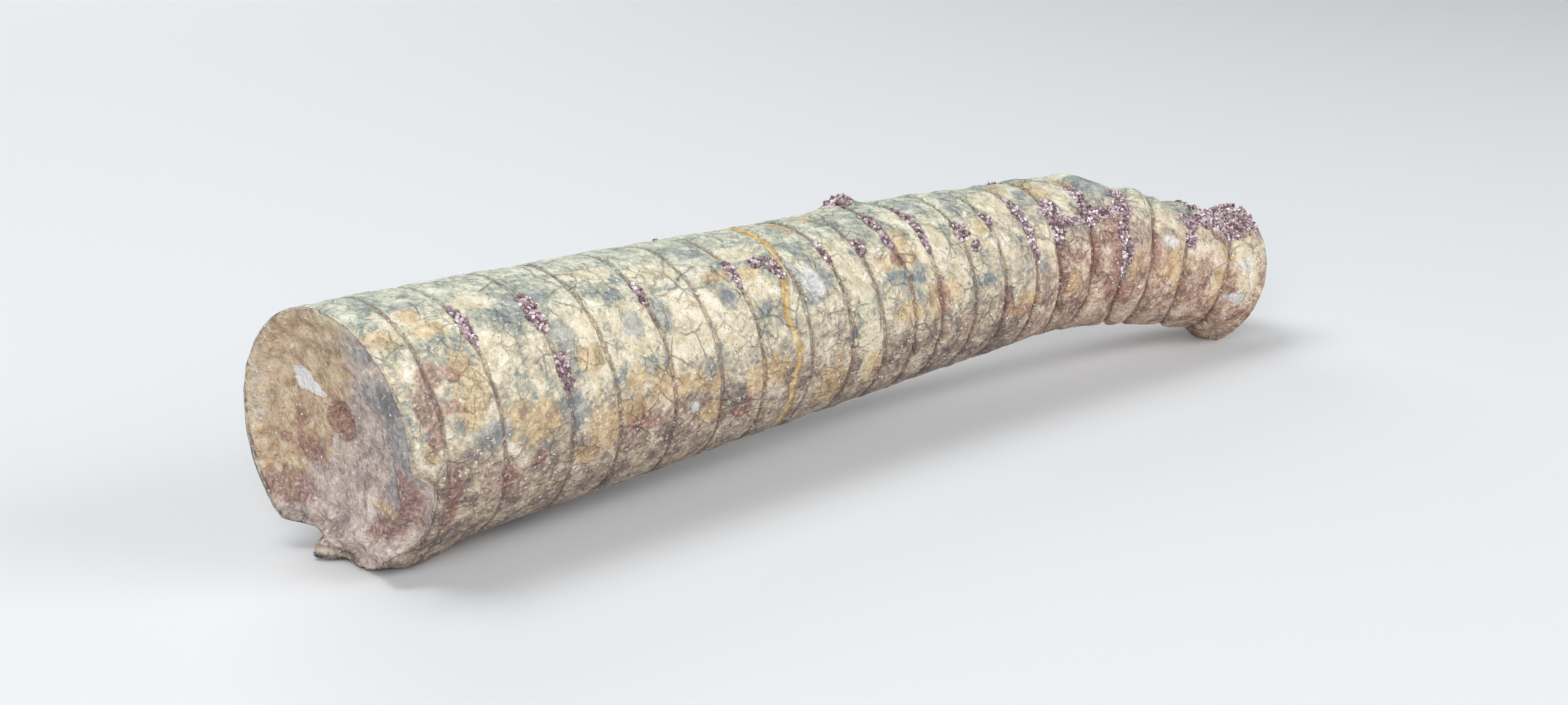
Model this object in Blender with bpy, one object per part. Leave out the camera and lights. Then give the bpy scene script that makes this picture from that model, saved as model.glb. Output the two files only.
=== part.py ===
"""Fossil orthoceras: the stone cast of a chambered, slightly bent shell, lying on a table.

One closed solid. Its body is a tapering tube around a gently bent axis, with a shallow groove at
each suture, where two chambers met. The large end is a hollowed septum with a broken lip, and the
small end is a rounded dome. Metres, +Z up, +X from the large end to the small end.

A place on the body is a station, measured along the axis from the large end, and an angle around
the axis: 0 faces -Y, 90 degrees is the top, and -90 degrees is the underside.
"""

import bpy
import numpy as np

MM = 0.001
NODE = "orthoceras"

# The axis swings to one side and, past the bend, droops until the small end meets the table.
AXIS_LENGTH = 204 * MM
AXIS_HEIGHT = 19.65 * MM
HEADING = 3.5
SWING = 17.0
SWING_POWER = 3.87
RISE = 0.98
DROOP = 22.2
BEND = 0.717
DROOP_POWER = 0.585

# The taper, as parts of the large end's radius.
LARGE_RADIUS = 20 * MM
TAPER = 0.350
TAPER_SQUARE = 0.033
TAPER_FOURTH = 0.105

# Sutures, in mm: station, lean, slant, groove depth, and how proud the chamber behind each stands.
# Lean is how much nearer the large end a suture passes on the -Y side than on the top or the back,
# and slant is how much nearer the large end it passes on the top than on the sides.
SUTURES = (
    (10.5, 0.0, 0.5, 0.4, 0.05),
    (20.7, 0.0, 1.0, 0.4, 0.05),
    (33.2, 0.0, 1.2, 0.4, 0.05),
    (42.2, 0.0, 1.1, 0.4, 0.05),
    (53.0, 0.0, 1.2, 0.4, 0.05),
    (62.8, 0.0, 1.0, 0.4, 0.05),
    (71.9, 0.0, 1.2, 0.4, 0.05),
    (82.2, 0.0, 0.2, 0.4, 0.05),
    (91.5, 0.0, 0.8, 0.5, 0.1),
    (99.1, 0.0, 1.3, 0.6, 0.1),
    (106.5, 0.0, 0.6, 0.7, 0.15),
    (113.1, 0.0, 0.3, 0.7, 0.15),
    (121.4, 0.0, -0.2, 0.7, 0.15),
    (129.0, 0.0, -0.3, 0.7, 0.15),
    (137.0, 0.0, -0.4, 0.8, 0.2),
    (145.0, 1.6, 0.0, 0.9, 0.3),
    (153.3, 1.6, 0.0, 1.0, 0.2),
    (169.0, 9.0, 0.0, 1.5, 0.4),
    (173.5, 6.0, 0.0, 1.1, 0.3),
    (184.8, 8.6, 0.0, 1.1, 0.3),
    (192.0, 3.5, 0.0, 1.0, 0.4),
)
CROWN_FRONT = 0.16
CROWN_BACK = 0.62

# The broken large end is a height field over its disc: how far in along the axis its surface lies.
RIM_STATION = 2.7 * MM
RIM_SLOPE = 0.09
BOWL_DEPTH = 2.7 * MM
LEDGE_DEPTH = 0.9 * MM
LEDGE_RADIUS = 0.86
RIM_ROUNDING = 0.5 * MM
# Breaks in its rim: middle and half width in degrees, inner radius and station in mm. In turn they
# are the notch on the -Y side, the lip that the underside ends in, and the chip beyond the lip.
RIM_BREAKS = (
    (-27.0, 25.0, 15.6, 8.6),
    (-78.0, 24.0, 15.8, 5.4),
    (-117.0, 13.0, 16.5, 6.0),
)
BREAK_SIDE = 9.0
BREAK_STEP = 1.2 * MM
SIPHUNCLE = (0.0 * MM, 2.0 * MM)
SIPHUNCLE_RADIUS = 2.9 * MM
SIPHUNCLE_DEPTH = 2.4 * MM

# The small end: a dome behind the last chamber.
DOME_STATION = 198.6 * MM
DOME_HEIGHT = 2.6 * MM

# Where the wall stands proud of the taper or is worn below it: station in mm, angle in degrees,
# reach along the axis in mm, reach around it in degrees, and height in mm. In turn they are the heel
# under the large end and the belly of the last chamber, which the fossil rests on, the crystal crust
# on top of the small end, two worn hollows before it, the worn and the proud part of the chamber
# before them, a small lump of crystals on the back, the wall behind the broken lip, two worn
# stretches of the top, and the worn corners of the lip and of the rim beyond it.
SWELLS = (
    (23.0, -123.0, 13.0, 23.0, 4.6),
    (198.8, -102.0, 4.2, 42.0, 2.4),
    (194.8, 88.0, 3.4, 34.0, 2.0),
    (188.0, 90.0, 3.5, 45.0, -1.3),
    (177.5, 90.0, 4.0, 45.0, -1.3),
    (166.0, 92.0, 2.5, 45.0, -0.6),
    (156.5, 95.0, 4.5, 40.0, 0.7),
    (107.0, 104.0, 3.4, 9.0, 1.6),
    (12.0, -72.0, 7.0, 16.0, 1.3),
    (85.0, 95.0, 24.0, 38.0, -0.4),
    (138.0, 95.0, 9.0, 40.0, -0.4),
    (3.5, -101.0, 6.0, 14.0, -2.0),
    (3.0, -150.0, 7.0, 32.0, -0.8),
)

AROUND = 44
LARGE_RINGS = (0.95, 0.88, 0.80, 0.72, 0.6, 0.46, 0.32, 0.2, 0.13, 0.07)
SMALL_RINGS = (0.95, 0.84, 0.64, 0.38)
AXIS_STEPS = 816


def make_axis():
    """Points, tangents, side vectors and up vectors along the axis, at even stations."""
    part = np.linspace(0, 1, AXIS_STEPS + 1)
    heading = np.radians(HEADING - SWING * part**SWING_POWER)
    past_bend = np.clip((part - BEND) / (1 - BEND), 0, None)
    pitch = np.radians(RISE - DROOP * past_bend**DROOP_POWER)
    level = np.cos(pitch)
    tangent = np.stack([level * np.cos(heading), level * np.sin(heading), np.sin(pitch)], axis=1)
    steps = (tangent[1:] + tangent[:-1]) / 2 * (AXIS_LENGTH / AXIS_STEPS)
    point = np.vstack([np.zeros(3), np.cumsum(steps, axis=0)])
    point[:, 2] += AXIS_HEIGHT
    side = np.cross(tangent, (0, 0, 1))
    side /= np.linalg.norm(side, axis=1, keepdims=True)
    return part * AXIS_LENGTH, point, tangent, side, np.cross(side, tangent)


STATIONS, POINTS, TANGENTS, SIDES, UPS = make_axis()


def along(values, station):
    """One of the axis's vectors at any station."""
    return np.stack([np.interp(station, STATIONS, values[:, k]) for k in range(3)], axis=-1)


def place(station, radius, angle):
    """World point at a station along the axis, a radius from it and an angle in degrees around it."""
    turn = np.radians(angle)
    out = np.cos(turn)[..., None] * along(SIDES, station) + np.sin(turn)[..., None] * along(UPS, station)
    return along(POINTS, station) + radius[..., None] * out


def bump(distance):
    """A smooth hill that is 1 at distance 0 and fades by about 2."""
    return np.exp(-(distance**2))


def turned_from(angle, centre):
    """The shortest turn in degrees from centre to angle."""
    return (angle - centre + 180) % 360 - 180


def body_radius(station):
    part = station / AXIS_LENGTH
    return LARGE_RADIUS * (1 - TAPER * part - TAPER_SQUARE * part**2 - TAPER_FOURTH * part**4)


def wall_radius(station, angle):
    """Radius of the wall without its sutures: the taper and the swells."""
    radius = body_radius(station)
    for middle, facing, length, width, height in SWELLS:
        reach = bump((station - middle * MM) / (length * MM))
        radius = radius + height * MM * reach * bump(turned_from(angle, facing) / width)
    return radius


def large_face(across, height):
    """How far in the broken large end lies, at a place on its disc measured from the axis."""
    radius = np.hypot(across, height)
    part = radius / LARGE_RADIUS
    angle = np.degrees(np.arctan2(height, across))
    depth = RIM_STATION + RIM_SLOPE * across + BOWL_DEPTH * (1 - np.clip(part, 0, 1) ** 2)
    depth = depth + LEDGE_DEPTH * np.clip((LEDGE_RADIUS + 0.03 - part) / 0.06, 0, 1)
    for middle, half_width, inner_radius, station in RIM_BREAKS:
        inside = np.clip((half_width - np.abs(turned_from(angle, middle))) / BREAK_SIDE, 0, 1)
        outside = np.clip((radius - inner_radius * MM) / BREAK_STEP, 0, 1)
        depth = depth + inside * outside * (station * MM - depth)
    to_pit = np.hypot(across - SIPHUNCLE[0], height - SIPHUNCLE[1]) / SIPHUNCLE_RADIUS
    return depth + SIPHUNCLE_DEPTH * np.clip(1.35 - to_pit, 0, 1)


def suture_rings(angle):
    """Rings of the wall: each groove, then the front and the back of the chamber behind it."""
    rings = []
    near = np.clip(np.cos(np.radians(angle)), 0, None)
    top = np.sin(np.radians(angle))
    stations = [(middle - lean * near - slant * top) * MM for middle, lean, slant, _, _ in SUTURES]
    stations.append(np.full(AROUND, DOME_STATION))
    for number, (_, _, _, groove, crown) in enumerate(SUTURES):
        start = stations[number]
        gap = stations[number + 1] - start
        rings.append((start, -groove * MM))
        rings.append((start + CROWN_FRONT * gap, crown * MM))
        rings.append((start + CROWN_BACK * gap, crown * MM * 0.6))
    rings.append((stations[-1], -0.3 * MM))
    return rings


def build_points():
    """Every ring of the solid as (AROUND, 3) points, from the large end's middle to the small end's."""
    angle = np.arange(AROUND) * 360 / AROUND
    turn = np.radians(angle)
    rings = []
    for part in reversed(LARGE_RINGS):
        radius = np.full(AROUND, LARGE_RADIUS * part)
        rings.append(place(large_face(radius * np.cos(turn), radius * np.sin(turn)), radius, angle))
    rim = large_face(LARGE_RADIUS * np.cos(turn), LARGE_RADIUS * np.sin(turn))
    rings.append(place(rim, wall_radius(rim, angle) - RIM_ROUNDING, angle))
    behind_rim = rim * 0.6 + SUTURES[0][0] * MM * 0.4
    rings.append(place(behind_rim, wall_radius(behind_rim, angle), angle))
    for station, proud in suture_rings(angle):
        rings.append(place(station, wall_radius(station, angle) + proud, angle))
    edge = wall_radius(np.full(AROUND, DOME_STATION), angle)
    for part in SMALL_RINGS:
        station = np.full(AROUND, DOME_STATION + DOME_HEIGHT * (1 - part**2) ** 0.7)
        rings.append(place(station, edge * part, angle))
    return rings


def build_mesh():
    rings = build_points()
    middle = place(large_face(np.zeros(1), np.zeros(1)), np.zeros(1), np.zeros(1))
    end = place(np.array([DOME_STATION + DOME_HEIGHT]), np.zeros(1), np.zeros(1))
    points = np.vstack([middle, *rings, end])
    points[:, 2] = np.clip(points[:, 2], 0, None)
    low, high = points.min(axis=0), points.max(axis=0)
    points[:, :2] -= (low[:2] + high[:2]) / 2

    faces = []
    last = len(points) - 1
    for k in range(AROUND):
        after = (k + 1) % AROUND
        faces.append((0, 1 + k, 1 + after))
        for ring in range(len(rings) - 1):
            here, there = 1 + ring * AROUND, 1 + (ring + 1) * AROUND
            faces.append((here + k, there + k, there + after, here + after))
        tail = 1 + (len(rings) - 1) * AROUND
        faces.append((tail + k, last, tail + after))
    mesh = bpy.data.meshes.new(NODE)
    mesh.from_pydata(points.tolist(), [], faces)
    mesh.validate()
    return mesh


def stone():
    material = bpy.data.materials.new("fossil_stone")
    material.use_nodes = True
    shader = material.node_tree.nodes["Principled BSDF"]
    shader.inputs["Base Color"].default_value = (0.42, 0.36, 0.28, 1)
    shader.inputs["Roughness"].default_value = 0.62
    shader.inputs["Metallic"].default_value = 0.0
    return material


def main():
    for thing in list(bpy.data.objects):
        bpy.data.objects.remove(thing)
    mesh = build_mesh()
    mesh.materials.append(stone())
    mesh.shade_smooth()
    fossil = bpy.data.objects.new(NODE, mesh)
    bpy.context.scene.collection.objects.link(fossil)


main()
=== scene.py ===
# %% [markdown]
# # A fossil orthoceras in stone
# The object is the stone cast of a straight, chambered shell. Lime mud and calcite filled the shell's
# chambers, the shell dissolved, and iron and manganese stained what was left. It is one piece of stone,
# with a crust of small crystals grown along its seams. The solid model fixes its size and pose, and
# this script gives it its surface. We start by loading that solid as a frame that nothing may move.

# %% Load the solid
import math

import bpy
import numpy as np
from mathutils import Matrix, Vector, noise


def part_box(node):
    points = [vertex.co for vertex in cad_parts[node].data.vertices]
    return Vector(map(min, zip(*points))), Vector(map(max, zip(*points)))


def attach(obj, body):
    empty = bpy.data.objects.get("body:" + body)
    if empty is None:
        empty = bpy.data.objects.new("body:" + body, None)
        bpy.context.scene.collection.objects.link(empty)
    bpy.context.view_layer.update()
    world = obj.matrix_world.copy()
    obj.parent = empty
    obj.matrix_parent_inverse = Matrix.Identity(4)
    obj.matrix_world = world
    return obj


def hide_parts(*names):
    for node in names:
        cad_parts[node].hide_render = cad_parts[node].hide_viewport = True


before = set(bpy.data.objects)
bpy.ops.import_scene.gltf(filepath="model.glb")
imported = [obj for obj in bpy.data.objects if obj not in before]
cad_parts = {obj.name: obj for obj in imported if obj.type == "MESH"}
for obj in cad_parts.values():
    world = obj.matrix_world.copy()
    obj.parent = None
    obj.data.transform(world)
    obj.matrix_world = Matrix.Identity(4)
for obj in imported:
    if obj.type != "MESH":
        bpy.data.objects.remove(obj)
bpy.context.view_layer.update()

NODE = "orthoceras"
MM = 0.001
low_corner, high_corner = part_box(NODE)
print("solid box in mm:", [round(side / MM, 1) for side in high_corner - low_corner])

# %% [markdown]
# ## The axis
# A straight nautiloid grew as a slowly widening cone. This one is bent: its axis swings to one side,
# and near the small end it droops until the tip meets the table. We could trace the axis with a curve
# object, but a formula is easier to reuse, because every mark on the stone is placed by how far along
# the axis it lies (its station, in mm) and how far round (its angle, in degrees). Angle 0 faces -Y,
# 90 is the top and -90 the underside. These numbers are the solid's own.

# %% Make the axis
AXIS_LENGTH = 204.0
AXIS_START = (-100.52, -1.41, 19.65)
AXIS_STEPS = 816
HEADING, SWING, SWING_POWER = 3.5, 17.0, 3.87
RISE, DROOP, BEND, DROOP_POWER = 0.98, 22.2, 0.717, 0.585

part_way = np.linspace(0, 1, AXIS_STEPS + 1)
heading = np.radians(HEADING - SWING * part_way**SWING_POWER)
past_bend = np.clip((part_way - BEND) / (1 - BEND), 0, None)
pitch = np.radians(RISE - DROOP * past_bend**DROOP_POWER)
level = np.cos(pitch)
tangent = np.stack([level * np.cos(heading), level * np.sin(heading), np.sin(pitch)], 1)
axis_steps = (tangent[1:] + tangent[:-1]) / 2 * (AXIS_LENGTH / AXIS_STEPS)
axis_point = np.vstack([np.zeros(3), np.cumsum(axis_steps, 0)]) + AXIS_START
axis_side = np.cross(tangent, (0, 0, 1))
axis_side /= np.linalg.norm(axis_side, axis=1, keepdims=True)
axis_up = np.cross(axis_side, tangent)
axis_station = part_way * AXIS_LENGTH
print("the axis ends at", axis_point[-1].round(1), "mm")

# %% [markdown]
# Two small functions turn a station, a radius and an angle into a point in space. `np.interp` reads the
# axis between its steps, so thousands of points are placed at once. `bump` is a soft hill, 1 in its
# middle, and `turned_from` is the shortest turn between two angles.


# %% Place points around the axis
def along(values, station):
    return np.stack([np.interp(station, axis_station, values[:, k]) for k in range(3)], -1)


def place(station, radius, angle):
    turn = np.radians(angle)[..., None]
    outward = np.cos(turn) * along(axis_side, station) + np.sin(turn) * along(axis_up, station)
    return along(axis_point, station) + radius[..., None] * outward


def bump(distance):
    return np.exp(-np.square(distance))


def turned_from(angle, centre):
    return (angle - centre + 180) % 360 - 180


print("top of the large end:", place(np.zeros(1), np.full(1, 20.0), np.full(1, 90.0))[0].round(1))

# %% [markdown]
# ## The wall
# The cone's radius shrinks along the axis by a short formula. A few places stand proud of it or are
# worn below it, such as the heel and the last belly that the fossil rests on. Each is a soft hill,
# given by where it is, how far it reaches along and around, and how high it stands.

# %% Taper and swells
LARGE_RADIUS = 20.0
TAPER = (0.350, 0.033, 0.105)
SWELLS = (
    (23.0, -123.0, 13.0, 23.0, 4.6),  # station, angle, reach along, reach around, height: the heel
    (198.8, -102.0, 4.2, 42.0, 2.4),  # the belly of the last chamber
    (194.8, 88.0, 3.4, 34.0, 2.0),  # the crystal crust on top of the small end
    (188.0, 90.0, 3.5, 45.0, -1.3),  # two worn hollows before it
    (177.5, 90.0, 4.0, 45.0, -1.3),
    (166.0, 92.0, 2.5, 45.0, -0.6),  # the long chamber at the bend, worn behind and proud before
    (156.5, 95.0, 4.5, 40.0, 0.7),
    (107.0, 104.0, 3.4, 9.0, 1.6),  # a lump of crystals on the back
    (12.0, -72.0, 7.0, 16.0, 1.3),  # the wall behind the broken lip
    (85.0, 95.0, 24.0, 38.0, -0.4),  # two worn stretches of the top
    (138.0, 95.0, 9.0, 40.0, -0.4),
    (3.5, -101.0, 6.0, 14.0, -2.0),  # worn corners of the lip and of the rim beyond it
    (3.0, -150.0, 7.0, 32.0, -0.8),
)


def plain_radius(station, angle):
    part = station / AXIS_LENGTH
    radius = LARGE_RADIUS * (1 - TAPER[0] * part - TAPER[1] * part**2 - TAPER[2] * part**4)
    for middle, facing, length, width, height in SWELLS:
        hill = bump((station - middle) / length) * bump(turned_from(angle, facing) / width)
        radius = radius + height * hill
    return radius


print("radius on the side at both ends:", plain_radius(np.array([0.0, 204.0]), 0.0).round(1), "mm")

# %% [markdown]
# ## The sutures
# A suture is the seam where a chamber wall (a septum) met the shell. Here each is a thin groove, and
# past the middle the chambers overlap like roof tiles: behind each groove the next one starts with a
# raised lip, highest on top. Booleans could cut such seams, but they are a fraction of a millimetre
# deep, so it is simpler to write them into the radius. A suture isn't quite a plane ring: it leans
# towards the large end on the near side, it slants, and it wavers a little.

# %% Suture table
SUTURES = (
    # station, lean, slant, groove depth, groove width, lip on the side, lip on top, all in mm
    (10.5, 0.0, 0.5, 0.15, 0.5, 0.05, 0.05),
    (20.7, 0.0, 1.0, 0.30, 0.5, 0.05, 0.10),
    (33.2, 0.0, 1.2, 0.30, 0.5, 0.05, 0.10),
    (42.2, 0.0, 1.1, 0.35, 0.4, 0.10, 0.15),
    (53.0, 0.0, 1.2, 0.35, 0.4, 0.10, 0.15),
    (62.8, 0.0, 1.0, 0.30, 0.4, 0.10, 0.15),
    (71.9, 0.0, 1.2, 0.30, 0.4, 0.10, 0.15),
    (82.2, 0.0, 0.2, 0.25, 0.4, 0.10, 0.15),
    (91.5, 0.0, 0.8, 0.40, 0.4, 0.15, 0.20),
    (99.1, 0.0, 1.3, 0.45, 0.5, 0.15, 0.25),
    (106.5, 0.0, 0.6, 0.45, 0.5, 0.20, 0.30),
    (113.1, 0.0, 0.3, 0.55, 0.5, 0.20, 0.35),
    (121.4, 0.0, -0.2, 0.60, 0.5, 0.20, 0.40),
    (129.0, 0.0, -0.3, 0.55, 0.5, 0.20, 0.40),
    (137.0, 0.0, -0.4, 0.65, 0.6, 0.20, 0.50),
    (145.0, 1.6, 0.0, 0.75, 0.7, 0.20, 0.60),
    (153.3, 1.6, 0.0, 0.80, 0.7, 0.25, 0.60),
    (169.0, 9.0, 0.0, 1.00, 0.9, 0.35, 0.50),
    (173.5, 6.0, 0.0, 0.75, 0.8, 0.30, 0.45),
    (184.8, 8.6, 0.0, 0.60, 0.7, 0.25, 0.45),
    (192.0, 3.5, 0.0, 0.80, 0.9, 0.35, 0.45),
)
WAVER, WAVER_RING, WAVER_SHIFT = 0.3, 3, 5.3
DOME_STATION = 198.6
DOME_HEIGHT = 2.6
suture_station, suture_lean, suture_slant = np.array(SUTURES).T[:3]
groove_depth, groove_width, side_lip, top_lip = np.array(SUTURES).T[3:]


def suture_lines(angle):
    near = np.clip(np.cos(np.radians(angle)), 0, None)
    top = np.sin(np.radians(angle))
    lines = []
    for number, middle in enumerate(suture_station):
        round_it = WAVER_RING * np.stack([np.cos(np.radians(angle)), np.sin(np.radians(angle))], 1)
        spots = [(across, height, WAVER_SHIFT * number) for across, height in round_it.tolist()]
        waver = WAVER * np.array([noise.noise(spot) for spot in spots])
        lines.append(middle - suture_lean[number] * near - suture_slant[number] * top + waver)
    return np.array(lines)


print(len(SUTURES), "sutures; the chambers are", np.diff(suture_station).round(0), "mm long")

# %% [markdown]
# ## The broken large end
# Here the cast broke along one of its chamber walls, so the break is a shallow bowl with the hole of
# the siphuncle, the tube that ran through every chamber, near its middle. The rim is chipped: there is
# a notch on the near side, and below it a lip stands proud. A bowl could be sculpted, but a height
# field says it in a few lines: for each place on the disc it gives how far in the stone begins.

# %% Height field of the break
RIM_STATION, RIM_SLOPE = 2.7, 0.09
BOWL_DEPTH = 2.7
LEDGE_DEPTH, LEDGE_RADIUS = 0.9, 0.86
RIM_ROUNDING = 0.5
RIM_BREAKS = (
    (-27.0, 25.0, 15.6, 8.6),  # middle, half width, inner radius, station: the notch
    (-78.0, 24.0, 15.8, 5.4),  # the lip under it
    (-117.0, 13.0, 16.5, 6.0),  # the chip beyond the lip
)
BREAK_SIDE, BREAK_STEP = 9.0, 1.2
SIPHUNCLE = (-0.6, 2.0)
SIPHUNCLE_RADIUS, SIPHUNCLE_DEPTH = 2.9, 2.4


def break_depth(across, height):
    radius = np.hypot(across, height)
    part = radius / LARGE_RADIUS
    angle = np.degrees(np.arctan2(height, across))
    depth = RIM_STATION + RIM_SLOPE * across + BOWL_DEPTH * (1 - np.clip(part, 0, 1) ** 2)
    depth = depth + LEDGE_DEPTH * np.clip((LEDGE_RADIUS + 0.03 - part) / 0.06, 0, 1)
    for middle, half_width, inner_radius, station in RIM_BREAKS:
        inside = np.clip((half_width - np.abs(turned_from(angle, middle))) / BREAK_SIDE, 0, 1)
        outside = np.clip((radius - inner_radius) / BREAK_STEP, 0, 1)
        depth = depth + inside * outside * (station - depth)
    to_pit = np.hypot(across - SIPHUNCLE[0], height - SIPHUNCLE[1]) / SIPHUNCLE_RADIUS
    return depth + SIPHUNCLE_DEPTH * np.clip(3.0 * (1.05 - to_pit), 0, 1)


print("the bowl is", break_depth(np.array([8.0]), np.array([-4.0]))[0].round(1), "mm in, off its middle")

# %% [markdown]
# ## The grid
# The surface is one grid of points: rings of the bowl, rings of the wall, and rings of the small end's
# dome, 224 points to a ring. The rings of the wall follow the sutures, and they crowd together towards
# each one, so a groove is crisp although the whole mesh stays under 200,000 triangles.

# %% Lay out the rings
AROUND = 224
ROW_GAP = 0.58
CROWDING = 0.09
BOWL_RINGS = 40
DOME_RINGS = 12

angle_row = np.arange(AROUND) * 360 / AROUND
cos_row = np.cos(np.radians(angle_row))
sin_row = np.sin(np.radians(angle_row))
rim_station = break_depth(LARGE_RADIUS * cos_row, LARGE_RADIUS * sin_row)
seam_rows = suture_lines(angle_row)
edges = np.vstack([rim_station, seam_rows, np.full(AROUND, DOME_STATION)])

wall_rows = []
chamber_rows = []
for number in range(len(edges) - 1):
    gap = edges[number + 1] - edges[number]
    count = max(6, round(float(gap.mean()) / ROW_GAP))
    for k in range(count):
        step = k / count - CROWDING * math.sin(2 * math.pi * k / count)
        wall_rows.append(edges[number] + gap * step)
        chamber_rows.append((number, step))
wall_rows.append(edges[-1])
chamber_rows.append((len(edges) - 2, 1.0))
wall_station = np.array(wall_rows)
print(len(wall_station), "rings along the wall,", AROUND, "points around")

# %% [markdown]
# ## Grooves and lips
# Within a chamber the surface starts with a raised lip that slopes back to the next groove. `chamber`
# and `step_in` say which chamber a ring belongs to and how far through it lies, and `seam_distance`
# keeps how far each point is from its nearest suture, which the colours use later.

# %% Relief of the chambers
NO_SEAM = 99.0
wall_angle = np.broadcast_to(angle_row, wall_station.shape)
chamber = np.array([row[0] for row in chamber_rows])
step_in = np.array([row[1] for row in chamber_rows])[:, None]
lip_low = np.concatenate([[0.0], side_lip])[chamber][:, None]
lip_high = np.concatenate([[0.0], top_lip])[chamber][:, None]
on_top = np.clip(np.sin(np.radians(wall_angle - 20)), 0, 1)
lip_rise = np.clip(step_in / 0.14, 0, 1) * (1 - step_in) ** 0.8
lip = (lip_low + (lip_high - lip_low) * on_top) * lip_rise

seam_distance = np.full(wall_station.shape, NO_SEAM)
groove = np.zeros(wall_station.shape)
for number in range(len(SUTURES)):
    distance = wall_station - seam_rows[number]
    groove += groove_depth[number] * bump(distance / groove_width[number])
    seam_distance = np.where(np.abs(distance) < np.abs(seam_distance), distance, seam_distance)
rounding = RIM_ROUNDING * bump((wall_station - rim_station) / 0.9)
wall_radius = plain_radius(wall_station, wall_angle) + lip - groove - rounding
print("deepest groove:", groove.max().round(2), "mm; highest lip:", lip.max().round(2), "mm")

# %% [markdown]
# ## Points of the bowl and the dome
# The bowl's rings run from its middle to the rim, and the dome's from the last chamber's edge to the
# tip. Every point also keeps its `stone` place, in mm: where it would be if the fossil were straight.
# Colours and grain use that place, so they don't stretch round the bend.

# %% Stack all the rings
bowl_part = (np.arange(BOWL_RINGS) + 0.3) / BOWL_RINGS
bowl_radius = np.repeat(LARGE_RADIUS * bowl_part[:, None], AROUND, 1)
bowl_station = break_depth(bowl_radius * cos_row, bowl_radius * sin_row)
dome_part = np.cos(np.linspace(0, math.pi / 2, DOME_RINGS + 1)[1:-1])[:, None]
dome_station = DOME_STATION + DOME_HEIGHT * (1 - dome_part**2) ** 0.7 + np.zeros(AROUND)
dome_radius = wall_radius[-1] * dome_part

ring_station = np.vstack([bowl_station, wall_station, dome_station])
ring_radius = np.vstack([bowl_radius, wall_radius, dome_radius])
ring_angle = np.broadcast_to(angle_row, ring_station.shape).copy()
ring_seam = np.full(ring_station.shape, NO_SEAM)
ring_seam[BOWL_RINGS : BOWL_RINGS + len(wall_station)] = seam_distance
in_bowl = np.zeros(ring_station.shape)
in_bowl[:BOWL_RINGS] = 1
station, radius, angle = ring_station.ravel(), ring_radius.ravel(), ring_angle.ravel()
seam, bowl = ring_seam.ravel(), in_bowl.ravel()
across = radius * np.cos(np.radians(angle))
height = radius * np.sin(np.radians(angle))
stone = np.stack([station, across, height], 1)
print(len(station), "points")

# %% [markdown]
# ## Noise
# Natural relief and stains are noise at several sizes. `noise.fractal` adds finer and finer copies of
# one pattern. `grain` reads it at every point, for a pattern whose bumps are `size` mm apart, and a
# different `shift` gives a different part of the pattern.


# %% Noise in millimetres
def grain(size, shift, octaves=3):
    return np.array([noise.fractal(p, 1.0, 2.0, octaves) for p in (stone / size + shift).tolist()])


broad = grain(11.0, 3.1)
middle_grain = grain(3.6, 17.7)
fine_grain = grain(1.3, 41.3, 2)
print("noise runs from", broad.min().round(2), "to", broad.max().round(2))

# %% [markdown]
# ## Stains
# Water carried iron and manganese through the stone, so each kind of stain comes in irregular patches.
# We could paint them on an image, but a short list says the same: each patch is an ellipse on the
# wall, whose outline the noise then breaks up. One soft field is kept per kind, 1 in the middle of a
# patch and 0 outside, and the material cuts its ragged edge.

# %% Patches on the wall
# Each patch is station, angle, half length in mm, half width in degrees.
PATCH_CORE, PATCH_FALL, PATCH_RAGGED = 1.35, 0.7, (0.35, 0.25)
CREAM = (
    (11, 64, 3, 9), (13, 60, 6, 6), (38, 45, 3.5, 8), (40, 30, 3, 20), (24, 68, 4, 6), (23, 40, 3, 10),
    (46, 70, 4, 6), (47, 42, 3.5, 8), (50, 28, 5, 8), (56, 22, 6, 7), (57, 62, 4, 8), (58, 40, 5, 10),
    (67, 25, 4, 9), (64, 36, 2, 5), (75, 65, 4, 6), (73, 45, 3, 8), (93, 50, 2.5, 12), (95, 25, 2.5, 14),
    (95.5, -5, 2.5, 20), (110, 70, 1.5, 12), (111, 42, 1.5, 10), (115, 40, 2.5, 20), (116, 15, 2.5, 12),
    (124, 42, 3, 6), (118.5, 10, 1, 10), (133, 65, 3, 15), (141, 30, 2.5, 10), (148, 62, 1.5, 15),
    (168, 65, 1.5, 18), (172.5, 45, 2, 10), (173.5, 60, 1.5, 8), (193, 28, 2.5, 14), (194, 5, 2.5, 20),
    (191.5, 42, 2, 6), (30, 150, 9, 22), (70, 165, 8, 18), (104, 150, 5, 20), (140, 160, 5, 22),
)
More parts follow.
